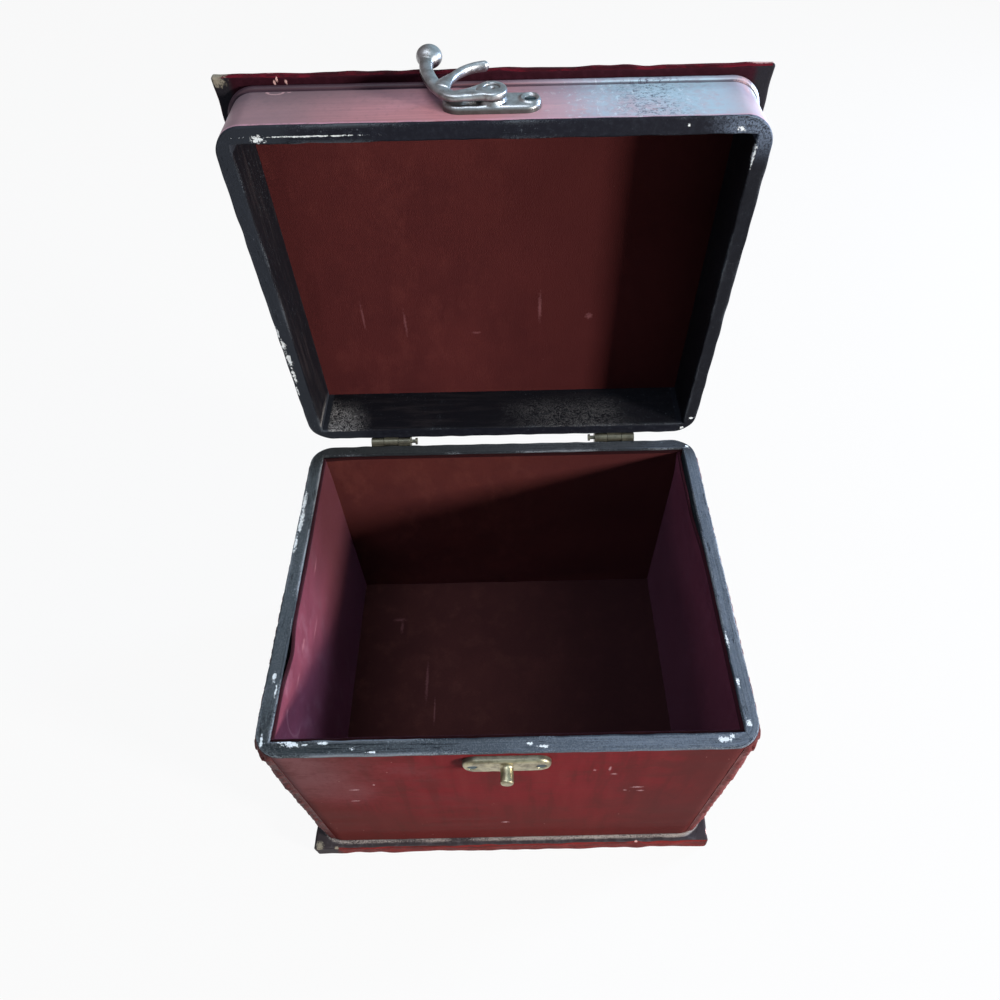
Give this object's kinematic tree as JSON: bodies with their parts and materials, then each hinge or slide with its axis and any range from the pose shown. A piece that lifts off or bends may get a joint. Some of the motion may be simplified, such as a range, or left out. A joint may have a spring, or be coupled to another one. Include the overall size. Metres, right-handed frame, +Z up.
{
  "type": "keepsake box",
  "caption": "Small red lacquered wooden keepsake box with a hinged lid on stop hinges, pile lining, embossed sides and a swinging hook latch over a stud.",
  "frame": {"origin": "centre of the underside of the base board, on the surface that the box stands on", "axes": "+X to the right seen from the front, +Y to the back, +Z up; the front, with the catch, faces -Y; the lid is stored open"},
  "size_m": [0.1822, 0.1829, 0.2797],
  "materials": {
    "red_lacquer": "worn red lacquer with dark brush streaks over wood, black at the rims",
    "dark_board": "black painted board with worn red edges",
    "embossed_cover": "embossed red leatherette, rubbed on the high places",
    "pile_cloth": "burgundy pile cloth on card, nap pressed in places",
    "card": "dark card",
    "old_brass": "tarnished brass",
    "antique_bronze": "dark antique bronze plating, rubbed bright on the edges"
  },
  "bodies": {
    "box": {"base_board": "dark_board", "floor_board": "dark_board", "front_wall": "red_lacquer", "back_wall": "red_lacquer", "left_wall": "red_lacquer", "right_wall": "red_lacquer", "left_side_cover": "embossed_cover", "right_side_cover": "embossed_cover", "floor_lining": "pile_cloth", "front_lining": "pile_cloth", "back_lining": "pile_cloth", "left_lining": "pile_cloth", "right_lining": "pile_cloth", "catch_plate": "old_brass", "catch_stud": "old_brass", "catch_screws": "antique_bronze", "left_hinge_body_leaf": "old_brass", "right_hinge_body_leaf": "old_brass", "left_hinge_pin": "old_brass", "right_hinge_pin": "old_brass", "hinge_body_screws": "old_brass"},
    "lid": {"lid_front_rail": "red_lacquer", "lid_back_rail": "red_lacquer", "lid_left_rail": "red_lacquer", "lid_right_rail": "red_lacquer", "lid_top_board": "red_lacquer", "lid_bead": "red_lacquer", "lid_card": "card", "lid_lining": "pile_cloth", "left_hinge_lid_leaf": "old_brass", "right_hinge_lid_leaf": "old_brass", "hinge_lid_screws": "old_brass", "latch_plate": "antique_bronze", "latch_rivet": "antique_bronze", "latch_screws": "antique_bronze"},
    "hook": {"latch_hook": "antique_bronze"}
  },
  "joints": [
    {"name": "lid_hinge", "type": "hinge", "parent": "box", "child": "lid", "pos_m": [0, 0.0733, 0.1242], "axis": [1, 0, 0], "range_deg": [0, 89]},
    {"name": "latch_turn", "type": "hinge", "parent": "lid", "child": "hook", "pos_m": [-0.0004, 0.08068, 0.26865], "axis": [0, -0.0175, 0.9998], "range_deg": [-237, 73]}
  ]
}
